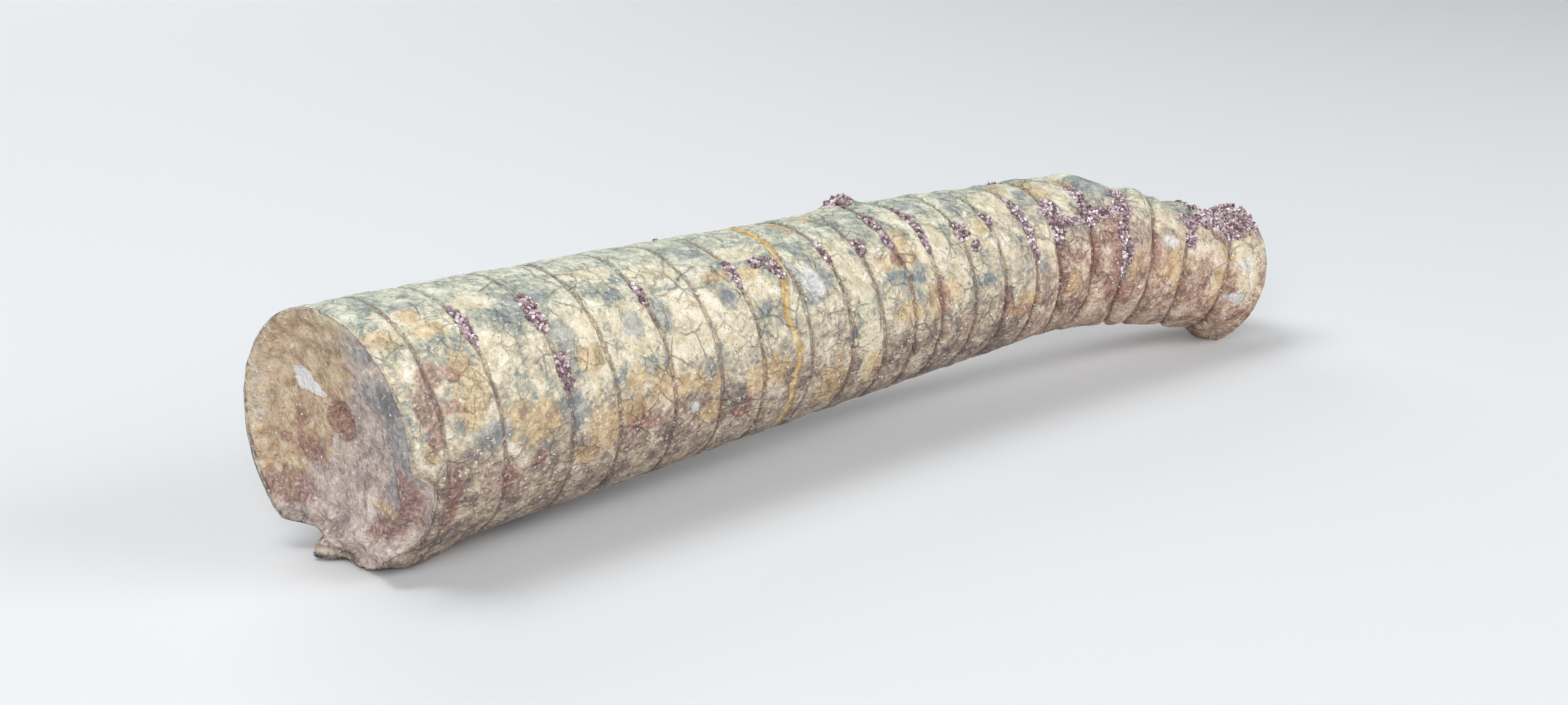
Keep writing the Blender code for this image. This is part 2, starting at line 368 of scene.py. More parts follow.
OCHRE = (
    (13, 68, 2, 5), (14.5, 58, 2.5, 4), (6, 57, 2, 5), (16, 37, 2, 7), (17, 28, 2.5, 8), (16, 20, 2.5, 8),
    (8, 4, 1, 4), (24, 11, 2, 5), (27, 5, 4, 8), (38, 27, 2, 6), (39, -8, 3, 10), (36.5, -18, 2, 6),
    (45, -3, 3, 6), (46, 12, 2, 5), (51, 5, 2.5, 9), (55, 2, 6, 5), (61, -3, 2, 5), (61, -18, 2, 6),
    (74, -5, 3, 8), (70, -8, 2, 8), (68, 52, 3, 4), (74, 50, 2, 4), (88, -25, 3, 12), (97, -22, 2, 8),
    (96, 90, 2, 6), (89, 85, 1.5, 8), (102, 38, 2, 4), (107.5, 48, 2, 9), (107, 38, 3, 5), (105, 5, 3, 6),
    (111.5, 8, 1.5, 10), (114, 6, 2, 6), (115.5, 12, 2, 6), (127, 48, 2, 4), (138.5, 80, 1.5, 8),
    (145.5, 75, 1.3, 18), (152, 78, 1.3, 12), (134, -12, 3, 8), (147, -8, 2, 8), (172, 0, 2.5, 6),
    (174, 8, 3, 10), (175, -8, 1.5, 10), (187.5, 25, 2, 8), (186.5, -5, 1.5, 20), (194.5, 53, 1.2, 6),
    (162, 2, 1.5, 8), (45, 170, 6, 20), (120, 175, 5, 25), (12, 165, 5, 20), (165, 165, 4, 25),
)
MAROON = (
    (11, 36, 2, 5), (14, 35, 1.5, 4), (8.5, 28, 1.5, 4), (9, 22, 2, 6), (13, 21, 2, 3), (9, 12, 1, 8),
    (12, -20, 1, 16), (21.5, -17, 1.5, 5), (27, -12, 1, 4), (47, -10, 3, 5), (68, -22, 2, 6),
    (105.5, 38, 1.5, 4), (113.3, 8, 1.2, 12), (114.3, 4, 1, 4), (129.5, -8, 0.8, 8), (135, -18, 2, 5),
    (144, 15, 1.5, 20), (147.5, 13, 2, 4), (149, -30, 3, 9), (152, 15, 1.3, 15), (158, 10, 1.6, 20),
    (157, 25, 3, 8), (157.5, -12, 2, 12), (160.5, -30, 1, 10), (157.5, 38, 4, 4), (168.4, 20, 0.9, 14),
    (186, 40, 2, 5), (182.5, -10, 1, 10), (60, -160, 6, 12), (150, 170, 4, 20), (180, 160, 3, 25),
)
CRYSTAL = (
    (20, 56, 0.8, 12), (32.4, 55, 1.2, 11), (33, 24, 0.9, 8), (52, 52, 0.7, 7), (71, 52, 0.7, 8),
    (79.5, 50, 1.3, 7), (76.5, 55, 1.6, 3), (90.8, 52, 0.7, 8), (98.5, 51, 0.9, 5), (105.5, 70, 1.1, 10),
    (105, 51, 1.0, 6), (113, 58, 0.7, 18), (121.5, 48, 1.3, 7), (123.5, 35, 1.2, 4), (129.3, 53, 0.7, 5),
    (137.2, 45, 0.9, 28), (144.5, 48, 1.8, 12), (144, 35, 1.2, 10), (148, 38, 3, 3), (152, 42, 2.2, 8),
    (152, 60, 1.2, 12), (161.5, 50, 2.2, 7), (162.5, 62, 1.8, 8), (155, 44, 3.5, 4), (160, 20, 1.3, 26),
    (178, 33, 1.0, 10), (178.5, 50, 1.8, 8), (183, 54, 3, 7), (187, 60, 4, 12), (190, 52, 3, 8),
    (192, 68, 4, 15), (195, 78, 3.2, 22), (190, 92, 7, 18), (106.5, 103, 2.6, 8), (176, 118, 2, 14),
    (144.5, 130, 1.2, 20), (121.4, 140, 1.0, 24), (71.5, 140, 0.9, 20), (33, 135, 1.1, 20),
)
SLATE = (
    (13.5, 12, 1, 3), (14.5, 76, 2, 3), (27, 55, 1.5, 6), (35, 40, 2, 8), (35, 65, 2, 4), (34, 5, 2, 8),
    (47.5, 55, 1.5, 4), (48, 37, 1.5, 6), (54, 38, 1.5, 8), (58.5, 52, 1.5, 2), (67.5, 38, 1.5, 5),
    (66.5, 72, 2, 4), (83, 42, 0.7, 7), (84, 27, 1.5, 3), (88.4, 38, 1.1, 7), (108.5, 24, 1.2, 4),
    (104, 25, 1.5, 5), (124, 65, 1.5, 5), (126, 80, 1.5, 3), (141.5, 72, 1.5, 6), (116, 78, 2, 5),
    (124.5, 12, 1.5, 4), (138.5, 12, 1, 6), (134.5, 12, 1, 3), (19, 6, 3, 5), (30, 60, 2, 8),
    (157, 74, 4, 14), (180, 62, 2, 8),
)
WHITE = (
    (85.4, 36, 1.9, 7), (172, 25, 2.1, 5), (57, -11, 0.8, 3), (192, -14, 2, 4), (193, 20, 1.5, 6),
)


def patches(table):
    field = np.zeros(len(station))
    for middle, facing, half_length, half_width in table:
        away = np.hypot((station - middle) / half_length, turned_from(angle, facing) / half_width)
        away = away + PATCH_RAGGED[0] * middle_grain + PATCH_RAGGED[1] * fine_grain
        field = np.maximum(field, np.clip(PATCH_CORE - PATCH_FALL * away, 0, 1))
    return field * (1 - bowl)


cream, ochre, maroon = patches(CREAM), patches(OCHRE), patches(MAROON)
crystal, slate_and_shade, white = patches(CRYSTAL), patches(SLATE), patches(WHITE)
print("points in crystal crust:", int((crystal > 0.6).sum()))

# %% [markdown]
# The break has its own patches, on its disc: `across` points to the near side and `height` up, in mm.
# Iron has coloured its far half ochre, the near half is purple grey, and a white chip of calcite shows
# where a flake came off.

# %% Patches on the break
# Each patch is across, height, half width and half height, in mm.
BREAK_OCHRE = (
    (-9, 5, 8, 9), (-6, 12, 8, 5), (-13, -3, 5, 6), (-3, 6.5, 4, 3), (-5, 17, 7, 2.5),
    (9.5, -9, 3.4, 1),
)
BREAK_MAROON = (
    (-8.5, -4, 2.8, 1.8), (-9.5, 0.8, 1.4, 1.2), (-13, -2.8, 1, 0.8), (-12, -10, 3.5, 2.5),
    (14, -6.5, 1.6, 4.2), (9.5, -11, 2.6, 1.6), (7, -13, 1.6, 1.2),
)
# Grey stains on the break; its third and fourth patches, thin streaks inside the top of the rim, are
# painted shade.
BREAK_SLATE_AND_SHADE = (
    (12, 8, 6, 2.2), (15, 3, 4, 6), (4, 13.5, 6, 1.0), (-4, 12.8, 6, 0.7), (12, -6, 2, 4),
    (-4, 17.5, 1, 2),
)
BREAK_RIDGES = BREAK_SLATE_AND_SHADE[2:4]
BREAK_CREAM = (
    (-18.8, 0, 1.4, 12), (-13.5, -1, 1.6, 1.2), (-8, 0.2, 1, 0.8), (4, 18, 7, 2),
    (0, 9.6, 4, 0.8), (-11, -6, 2.5, 2),
)
CHIP = ((-8.6, 6.9, 1.9, 1.6), (-7.2, 6.0, 2.0, 0.9), (-5.6, 5.4, 1.6, 0.5))
BREAK_RAGGED = (0.25, 0.15)


def break_patches(table):
    field = np.zeros(len(station))
    for middle_across, middle_height, half_across, half_height in table:
        away = np.hypot((across - middle_across) / half_across, (height - middle_height) / half_height)
        away = away + BREAK_RAGGED[0] * middle_grain + BREAK_RAGGED[1] * fine_grain
        field = np.maximum(field, np.clip(PATCH_CORE - PATCH_FALL * away, 0, 1))
    return field * bowl


to_siphuncle = np.hypot(across - SIPHUNCLE[0], height - SIPHUNCLE[1]) / SIPHUNCLE_RADIUS
pit = bowl * np.clip(PATCH_CORE - to_siphuncle, 0, 1)
ochre = np.maximum(ochre, 0.95 * break_patches(BREAK_OCHRE))
maroon = np.maximum(maroon, break_patches(BREAK_MAROON))
maroon = np.maximum(maroon, np.clip(pit * 2.4, 0, 1))
# On the break the grey is partly stain and partly painted shade in two streaks inside the rim.
slate_and_shade = np.maximum(slate_and_shade, 0.9 * break_patches(BREAK_SLATE_AND_SHADE))
cream = np.maximum(cream, 0.9 * break_patches(BREAK_CREAM))
chip = break_patches(CHIP)
print("points in the white chip:", int((chip > 0.6).sum()))

# %% [markdown]
# ## The yellow vein
# A crack ran round the fossil near its middle and calcite stained with iron filled it: a thin yellow
# line that wanders. Its path is a short list of angles and stations, and each point keeps its distance
# from it in mm.

# %% Distance from the vein
VEIN_ANGLE = (-75, -38, -25, -15, -8, 3, 15, 22, 28, 43, 50, 65, 85, 110, 150)
VEIN_STATION = (80.4, 79.5, 78.8, 78.5, 79.2, 79.5, 78.5, 77.9, 78.5, 80.2, 81.0, 82.0, 82.5, 82.9, 82.4)
NO_VEIN = 9.0
on_vein = (angle + 180) % 360 - 180
vein_fade = np.clip((on_vein + 80) / 20, 0, 1) * np.clip((150 - on_vein) / 40, 0, 1)
vein = np.abs(station - np.interp(on_vein, VEIN_ANGLE, VEIN_STATION)) + 0.35 * fine_grain
vein = np.where(bowl > 0, NO_VEIN, vein + 3 * (1 - vein_fade))
print("the vein comes within", vein.min().round(2), "mm of the grid")

# %% [markdown]
# ## Moving the points
# Now the noise becomes relief, and it isn't only a bump: broad swells, the pitted crust of weathered
# limestone, and the coarse crust of crystals that stands a little proud of it. The vein and the maroon
# stains are worn in, and the broken lip is the roughest.

# %% Relief of the wall
# Heights in mm: broad, middle and fine grain, in that order.
WALL_WEAR = (0.16, 0.13, 0.10)
WALL_SINK = 0.16
CRUST_HEIGHT, CRUST_KNOBS, KNOB_SIZE = 0.22, 0.35, 1.7
VEIN_DEPTH, VEIN_REACH = 0.3, 0.6
MAROON_DEPTH = 0.12
LIP_MIDDLE, LIP_REACH, LIP_WEAR = (6, -75), (8, 35), (0.75, 0.5)
side_wear = WALL_WEAR[0] * broad + WALL_WEAR[1] * middle_grain + WALL_WEAR[2] * fine_grain
crust = crystal * (CRUST_HEIGHT + CRUST_KNOBS * np.abs(grain(KNOB_SIZE, 63.0, 2)))
vein_groove = VEIN_DEPTH * bump(vein / VEIN_REACH)
lip_zone = bump((station - LIP_MIDDLE[0]) / LIP_REACH[0])
lip_zone = lip_zone * bump(turned_from(angle, LIP_MIDDLE[1]) / LIP_REACH[1])
relief = side_wear - WALL_SINK + crust - vein_groove - MAROON_DEPTH * maroon
relief = relief + lip_zone * (LIP_WEAR[0] * middle_grain + LIP_WEAR[1] * fine_grain)
print("relief of the wall:", relief.min().round(2), "to", relief.max().round(2), "mm")

# %% [markdown]
# The bowl has its own relief, along the axis. It is rougher towards its foot, two ridges cross it
# (the streaks coloured dark as painted shade), the white chip is a small step, and a channel runs
# along its near side. The relief fades out at the rim, where the bowl meets the wall.

# %% Relief of the break
BOWL_WEAR = (0.35, 0.28, 0.14)
FOOT_HEIGHT, FOOT_BLEND, FOOT_WEAR = 11, 4, (0.9, 0.6)
RIDGE_HEIGHT, CHIP_HEIGHT, CHIP_LEVEL = 0.5, 0.45, 0.55
CHANNEL_DEPTH, CHANNEL_RADIUS, CHANNEL_WIDTH = 1.8, 17.0, 1.6
CHANNEL_MIDDLE, CHANNEL_REACH = 28, 38
near_channel = CHANNEL_DEPTH * bump((radius - CHANNEL_RADIUS) / CHANNEL_WIDTH)
near_channel = near_channel * bump(turned_from(angle, CHANNEL_MIDDLE) / CHANNEL_REACH)
foot = np.clip((-height - FOOT_HEIGHT) / FOOT_BLEND, 0, 1)
bowl_relief = BOWL_WEAR[0] * broad + BOWL_WEAR[1] * middle_grain + BOWL_WEAR[2] * fine_grain
bowl_relief = bowl_relief + foot * (FOOT_WEAR[0] * middle_grain + FOOT_WEAR[1] * fine_grain)
bowl_relief = bowl_relief + RIDGE_HEIGHT * break_patches(BREAK_RIDGES)
bowl_relief = bowl_relief + CHIP_HEIGHT * (chip > CHIP_LEVEL)
rim_fade = np.clip(LARGE_RADIUS - radius, 0, 1)
break_relief = bowl * rim_fade * (bowl_relief + near_channel)
print("relief of the break:", break_relief.min().round(2), "to", break_relief.max().round(2), "mm")

# %% [markdown]
# The wall's relief moves points outward and the bowl's moves them along the axis. Near the dome's tip
# the relief fades out, and in the end every point is held inside the solid's box, so that nothing goes
# below the table.

# %% Place the points
TIP_FADE = 6
placed_radius = radius + (1 - bowl) * relief * np.clip(radius / TIP_FADE, 0, 1)
points = place(station + break_relief, placed_radius, angle)
low_mm, high_mm = np.array(low_corner) / MM, np.array(high_corner) / MM
print("over the solid's box:", np.clip(points.max(0) - high_mm, 0, None).round(2), "mm")
points = np.clip(points, low_mm, high_mm)

# %% [markdown]
# ## The mesh
# Each ring joins to the next in four-sided faces, and a single point closes each end. The fields go
# onto the mesh as attributes, named so that the material can ask for them.


# %% Build the cast
def build_cast():
    bowl_middle = break_depth(np.zeros(1), np.zeros(1))[0]
    end_stations = np.array([bowl_middle, DOME_STATION + DOME_HEIGHT])
    ends = place(end_stations, np.zeros(2), np.zeros(2))
    corners = np.vstack([points, ends])
    rings = len(ring_station)
    here = np.arange(rings * AROUND).reshape(rings, AROUND)
    after = np.roll(here, -1, axis=1)
    quads = np.stack([here[:-1], here[1:], after[1:], after[:-1]], -1).reshape(-1, 4)
    first_end, last_end = rings * AROUND, rings * AROUND + 1
    faces = quads.tolist()
    faces += [(first_end, here[0, k], after[0, k]) for k in range(AROUND)]
    faces += [(here[-1, k], last_end, after[-1, k]) for k in range(AROUND)]
    mesh = bpy.data.meshes.new("orthoceras_cast")
    mesh.from_pydata((corners * MM).tolist(), [], faces)
    mesh.shade_smooth()
    return mesh


def add_field(mesh, name, values, end_values=(0.0, 0.0)):
    field = mesh.attributes.new(name, "FLOAT", "POINT")
    field.data.foreach_set("value", np.concatenate([values, end_values]).astype(np.float32))


cast_mesh = build_cast()
stone_place = cast_mesh.attributes.new("stone_mm", "FLOAT_VECTOR", "POINT")
BOWL_END = 6.0
stone_ends = [(BOWL_END, 0, 0), (DOME_STATION + DOME_HEIGHT, 0, 0)]
stone_place.data.foreach_set("vector", np.vstack([stone, stone_ends]).astype(np.float32).ravel())
FIELDS = {
    "cream": cream, "ochre": ochre, "maroon": maroon, "crystal": crystal, "slate_and_shade": slate_and_shade,
    "white": white, "chip": chip, "bowl": bowl,
}
for name, values in FIELDS.items():
    add_field(cast_mesh, name, values)
add_field(cast_mesh, "vein_mm", vein, (NO_VEIN, NO_VEIN))
add_field(cast_mesh, "seam_mm", np.abs(seam), (NO_SEAM, NO_SEAM))
print("triangles:", sum(len(face.vertices) - 2 for face in cast_mesh.polygons))

# %% [markdown]
# The weathering isn't the same all round. The upper side is grey-green and cream, the lower side is
# pinkish brown, darker still with painted shade, and the last third is warmer. `lower_brown_and_shade`
# and `far_end` are those two slow changes.

# %% Slow changes of colour
facing_up = np.sin(np.radians(angle))
# The lower side's brown is partly its own colour and partly painted shade.
lower_brown_and_shade = np.clip((0.30 - facing_up) / 0.55 + 0.30 * broad, 0, 1) * (1 - bowl)
far_end = np.clip((station - 128) / 26, 0, 1) * np.clip(1.25 - 1.2 * facing_up, 0.1, 1)
upper = np.clip((facing_up - 0.62) / 0.35, 0, 1) * (1 - bowl)
for name, values in {"lower_brown_and_shade": lower_brown_and_shade, "far_end": far_end, "upper": upper}.items():
    add_field(cast_mesh, name, values)
print("share of the wall on the brown lower side:", (lower_brown_and_shade > 0.5).mean().round(2))

# %% [markdown]
# ## Colour
# Colours are written as sRGB hex, and Blender's shaders want linear light, so one function turns one
# into the other. A second small function adds a node to `tree`, the material in hand. It takes the
# node's kind, what goes into its sockets (a number, or another node's output to link), which output
# to hand back, a ramp's stops, and the node's settings. Sockets are called by name, or by number
# where several share a name, as those of Math and Mix nodes do.


# %% Colour and node helpers
def linear(hex_colour):
    parts = [int(hex_colour[k : k + 2], 16) / 255 for k in (1, 3, 5)]
    return [p / 12.92 if p <= 0.04045 else ((p + 0.055) / 1.055) ** 2.4 for p in parts] + [1.0]


def add(kind, sockets, output=0, stops=(), **settings):
    node = tree.nodes.new(kind)
    for name, value in settings.items():
        setattr(node, name, value)
    for key, value in sockets.items():
        if isinstance(value, bpy.types.NodeSocket):
            tree.links.new(value, node.inputs[key])
        else:
            node.inputs[key].default_value = value
    if stops:
        for position, hex_colour in stops[1:-1]:
            node.color_ramp.elements.new(position)
        for element, (position, hex_colour) in zip(node.color_ramp.elements, stops):
            element.position = position
            element.color = linear(hex_colour)
    return node.outputs[output]


print("cream is", [round(c, 2) for c in linear("#d9cfb0")[:3]], "in linear light")

# %% [markdown]
# ## Iron-stained limestone
# The stone is fine-grained limestone and calcite, weathered in the ground and cleaned but not
# polished. That gives a matt, granular surface, IOR about 1.58, with small faces of calcite that
# glint. The material mixes, from the ground up: a mottled ground, the slow changes, the stains, the
# seams, the cracks and the specks. It starts with the mesh's own fields, which Attribute nodes read.

# %% Start the limestone
limestone = bpy.data.materials.new("iron_stained_limestone")
limestone.use_nodes = True
tree = limestone.node_tree
shader = tree.nodes["Principled BSDF"]
place_mm = add("ShaderNodeAttribute", {}, "Vector", attribute_name="stone_mm")
painted = {}
for name in (*FIELDS, "vein_mm", "seam_mm", "lower_brown_and_shade", "far_end", "upper"):
    painted[name] = add("ShaderNodeAttribute", {}, "Fac", attribute_name=name)
print("limestone reads", len(painted) + 1, "attributes")

# %% [markdown]
# Every mottle, edge and grain of the stone is one of nine noise textures. Each is as coarse as what it
# stands for, in mm: patches of mud, crystals of calcite, sand. The three finest are drawn a little
# coarser than the real 0.3 mm, so that they show.

# %% Speckles
SPECKLES = {
    # size in mm, detail, distortion, roughness
    "patch": (6.0, 6.0, 0.8, 0.55),
    "small": (2.2, 5.0, 0.5, 0.60),
    "tiny": (0.8, 3.0, 0.0, 0.60),
    "edge": (2.0, 5.0, 1.2, 0.55),
    "crack zone": (9.0, 2.0, 0.0, 0.55),
    "fine crack zone": (5.0, 2.0, 0.0, 0.55),
    "pepper": (0.55, 2.0, 0.0, 0.55),
    "salt": (0.7, 2.0, 0.3, 0.55),
    "sand": (0.45, 2.0, 0.0, 0.55),
}
speckle = {}
for name, (grain_mm, detail, distortion, harshness) in SPECKLES.items():
    sockets = {
        "Vector": place_mm, "Scale": 1 / grain_mm, "Detail": detail, "Roughness": harshness,
        "Distortion": distortion,
    }
    speckle[name] = add("ShaderNodeTexNoise", sockets, "Fac")
print("finest speckle:", min(row[0] for row in SPECKLES.values()), "mm")

# %% [markdown]
# The ground is a mottle of slate grey, grey-green, beige and cream: three of the speckles added up,
# with the contrast raised. Ramps turn that one pattern into five grounds. The bare one is for the
# sides, and the others are for the green top, the brown underside with painted shade in it, the rosy
# far end and the break.

# %% Tones of the ground
GROUND_SHARES = {"patch": 0.45, "small": 0.50, "tiny": 0.30}
GROUND_CONTRAST, GROUND_OFFSET = 1.45, -0.38
GROUNDS = {
    "bare": (
        (0.36, "#7d8485"), (0.44, "#a1a194"), (0.51, "#b9ae98"), (0.57, "#cfc3a6"),
        (0.64, "#ddd4bf"), (0.74, "#ebe6da"),
    ),
    "green": ((0.36, "#76827b"), (0.47, "#a0aa9c"), (0.57, "#bfc5b2"), (0.68, "#d6d9c8")),
    # The underside's ground: its own brown, darkened further as painted shade.
    "brown_and_shade": (
        (0.36, "#66544b"), (0.46, "#846e63"), (0.55, "#a18a7a"), (0.64, "#bba893"), (0.74, "#cfc2ad"),
    ),
    "rosy": ((0.36, "#84604f"), (0.47, "#ae8672"), (0.57, "#caa890"), (0.68, "#dfcab6")),
    "break": ((0.34, "#8b7b77"), (0.46, "#ae9c95"), (0.56, "#c8b6ab"), (0.68, "#ded0c4")),
}
mottle = 0.0
for name, share in GROUND_SHARES.items():
    mottle = add("ShaderNodeMath", {0: speckle[name], 1: share, 2: mottle}, operation="MULTIPLY_ADD")
mottle = add("ShaderNodeMath", {0: mottle, 1: GROUND_CONTRAST, 2: GROUND_OFFSET}, operation="MULTIPLY_ADD")
tone = {}
for name, stops in GROUNDS.items():
    tone[name] = add("ShaderNodeValToRGB", {"Fac": mottle}, "Color", stops)
print(len(tone), "grounds")

# %% [markdown]
# `lay_over` puts one colour over another where a mask says, as thinly as `opacity` says. The grounds
# go on first, each by the slow field that says where it belongs.


# %% Lay the grounds
def lay_over(under, over, mask, opacity):
    covered = add("ShaderNodeMath", {0: mask, 1: opacity}, operation="MULTIPLY")
    return add("ShaderNodeMix", {0: covered, 6: under, 7: over}, 2, data_type="RGBA")


colour = lay_over(tone["bare"], tone["green"], painted["upper"], 0.75)
# Painted shade: the darker brown ground laid over the lower side.
colour = lay_over(colour, tone["brown_and_shade"], painted["lower_brown_and_shade"], 0.9)
colour = lay_over(colour, tone["rosy"], painted["far_end"], 0.70)
colour = lay_over(colour, tone["break"], painted["bowl"], 1.0)
print("the ground takes", len(tree.nodes), "nodes")

# %% [markdown]
# Next come the stains, each with its own three tones: cream first, then slate (which on the break is
# partly painted shade), ochre and maroon, and white on top. The tones of the seams and the vein are
# made here too. `cut` turns a soft field into a mask with a ragged edge: it adds noise, and keeps what
# is then above a level.

# %% Stains
EDGE_LEVEL = 0.55
STAIN_TONES = {
    "cream": ("small", (0.35, "#cfc19b"), (0.5, "#e0d5b8"), (0.65, "#ece5d2")),
    "ochre": ("small", (0.35, "#ab8450"), (0.5, "#c9a672"), (0.65, "#dcc596")),
    "maroon": ("tiny", (0.35, "#5e3a36"), (0.5, "#8a5c54"), (0.65, "#b58a7e")),
    "slate_and_shade": ("small", (0.35, "#59636b"), (0.5, "#78828a"), (0.65, "#99a0a2")),
    "white": ("small", (0.35, "#a9b2ba"), (0.5, "#d3d7da"), (0.62, "#eceded")),
    "seam": ("tiny", (0.38, "#4f3b33"), (0.5, "#6b4b40"), (0.62, "#93756b")),
    "vein": ("small", (0.35, "#b5914f"), (0.5, "#cfae6c"), (0.65, "#e2cf9c")),
}
for name, (follows, *stops) in STAIN_TONES.items():
    tone[name] = add("ShaderNodeValToRGB", {"Fac": speckle[follows]}, "Color", stops)
ragged = add("ShaderNodeMath", {0: speckle["edge"], 1: 0.65, 2: -0.5}, operation="MULTIPLY_ADD")
ragged = add("ShaderNodeMath", {0: speckle["tiny"], 1: 0.35, 2: ragged}, operation="MULTIPLY_ADD")


def cut(soft_field, raggedness=1.7, softness=0.16):
    broken = add("ShaderNodeMath", {0: ragged, 1: raggedness, 2: soft_field}, operation="MULTIPLY_ADD")
    levels = {0: broken, 1: EDGE_LEVEL - softness, 2: EDGE_LEVEL + softness}
    return add("ShaderNodeMapRange", levels, interpolation_type="SMOOTHSTEP")


colour = lay_over(colour, tone["cream"], cut(painted["cream"]), 0.70)
# Grey stains, and on the break painted shade in two streaks inside the rim.
colour = lay_over(colour, tone["slate_and_shade"], cut(painted["slate_and_shade"]), 0.60)
colour = lay_over(colour, tone["ochre"], cut(painted["ochre"]), 0.55)
colour = lay_over(colour, tone["maroon"], cut(painted["maroon"]), 0.66)
colour = lay_over(colour, tone["white"], cut(painted["white"], 1.2), 0.62)
print("stains bring it to", len(tree.nodes), "nodes")

# %% [markdown]
# Fine dark cracks run through the stone as two nets, with meshes of 5 and 2 mm, in some zones only. A
# Voronoi texture's distance to its cell edges draws such a net, and noise in its coordinates makes it
# wander. The break has fewer of them than the weathered wall.

# %% Cracks
WANDER = 1.6
WANDER_SIZE = 2.4
wander = add("ShaderNodeTexNoise", {"Vector": place_mm, "Scale": 1 / WANDER_SIZE, "Detail": 3.0}, "Color")
wander = add("ShaderNodeVectorMath", {0: wander, "Scale": WANDER}, operation="SCALE")
bent_place = add("ShaderNodeVectorMath", {0: place_mm, 1: wander}, operation="ADD")


def cracks(mesh_size, width, zone, zone_starts, zone_full):
    net = {"Vector": bent_place, "Scale": 1 / mesh_size}
    distance = add("ShaderNodeTexVoronoi", net, "Distance", feature="DISTANCE_TO_EDGE")
    thin = {0: distance, 1: 0.0, 2: width / mesh_size, 3: 1.0, 4: 0.0}
    line = add("ShaderNodeMapRange", thin, interpolation_type="SMOOTHSTEP")
    levels = {0: zone, 1: zone_starts, 2: zone_full}
    patchy = add("ShaderNodeMapRange", levels, interpolation_type="SMOOTHSTEP")
    return add("ShaderNodeMath", {0: line, 1: patchy}, operation="MULTIPLY")


crack = cracks(5.0, 0.22, speckle["crack zone"], 0.46, 0.60)
fine_crack = cracks(2.1, 0.20, speckle["fine crack zone"], 0.50, 0.62)
fine_crack = add("ShaderNodeMath", {0: fine_crack, 1: 0.7}, operation="MULTIPLY")
crack = add("ShaderNodeMath", {0: crack, 1: fine_crack}, operation="MAXIMUM")
fewer = {0: painted["bowl"], 1: 0.0, 2: 1.0, 3: 1.0, 4: 0.3}
fewer = add("ShaderNodeMapRange", fewer, interpolation_type="SMOOTHSTEP")
crack = add("ShaderNodeMath", {0: crack, 1: fewer}, operation="MULTIPLY")
colour = lay_over(colour, linear("#55504c"), crack, 0.42)
print("cracks bring it to", len(tree.nodes), "nodes")

# %% [markdown]
# The seams are brown lines about 0.6 mm wide. Noise moves their edges, so they swell, thin out and
# break off, and a second, slower noise fades whole stretches of them.

# %% Seams
seam_edge = {0: speckle["tiny"], 1: -1.3, 2: painted["seam_mm"]}
seam_edge = add("ShaderNodeMath", seam_edge, operation="MULTIPLY_ADD")
seam_line = {0: seam_edge, 1: -0.55, 2: -0.12, 3: 1.0, 4: 0.0}
seam_line = add("ShaderNodeMapRange", seam_line, interpolation_type="SMOOTHSTEP")
fading = {0: speckle["small"], 1: 0.40, 2: 0.56, 3: 0.25, 4: 1.0}
fading = add("ShaderNodeMapRange", fading, interpolation_type="SMOOTHSTEP")
seam_mask = add("ShaderNodeMath", {0: seam_line, 1: fading}, operation="MULTIPLY")
colour = lay_over(colour, tone["seam"], seam_mask, 0.78)
print("seams bring it to", len(tree.nodes), "nodes")

# %% [markdown]
# The yellow vein is about 1 mm of calcite with darker edges: a wide brown line with a narrower yellow
# one on top.

# %% Vein
vein_edge = {0: painted["vein_mm"], 1: 0.55, 2: 1.25, 3: 1.0, 4: 0.0}
vein_edge = add("ShaderNodeMapRange", vein_edge, interpolation_type="SMOOTHSTEP")
vein_heart = {0: painted["vein_mm"], 1: 0.25, 2: 0.75, 3: 1.0, 4: 0.0}
vein_heart = add("ShaderNodeMapRange", vein_heart, interpolation_type="SMOOTHSTEP")
colour = lay_over(colour, linear("#8d7048"), vein_edge, 0.55)
colour = lay_over(colour, tone["vein"], vein_heart, 0.95)
print("the vein brings it to", len(tree.nodes), "nodes")

# %% [markdown]
# The wine red crust along the seams is small crystals, about 0.75 mm across, each of its own shade from
# dark wine to lilac: a Voronoi texture's random colour gives every crystal one shade.

# %% Crust
CRYSTAL_SIZE = 0.75
CRUST_STOPS = (
    (0.0, "#5d4547"), (0.35, "#84696d"), (0.6, "#a58e94"), (0.8, "#c4b2b8"), (1.0, "#e6dcde"),
)
crystals = {"Vector": place_mm, "Scale": 1 / CRYSTAL_SIZE}
crystal_distance = add("ShaderNodeTexVoronoi", crystals, "Distance")
crystal_random = crystal_distance.node.outputs["Color"]
crystal_shade = add("ShaderNodeSeparateColor", {"Color": crystal_random})
painted_glint_pick = crystal_shade.node.outputs[1]
tone["crust"] = add("ShaderNodeValToRGB", {"Fac": crystal_shade}, "Color", CRUST_STOPS)
crystal_mask = cut(painted["crystal"], 1.2, 0.12)
colour = lay_over(colour, tone["crust"], crystal_mask, 0.85)
print("crust brings it to", len(tree.nodes), "nodes")

# %% [markdown]
# Here and there a crystal's face would glint, and these glints are painted highlights: pale dots,
# 0.4 mm across, in the colour, on a few crystals picked at random: more of them in the crust and on
# the brown underside than on the sides.
# Dark pepper, pale salt and the white chip come last.

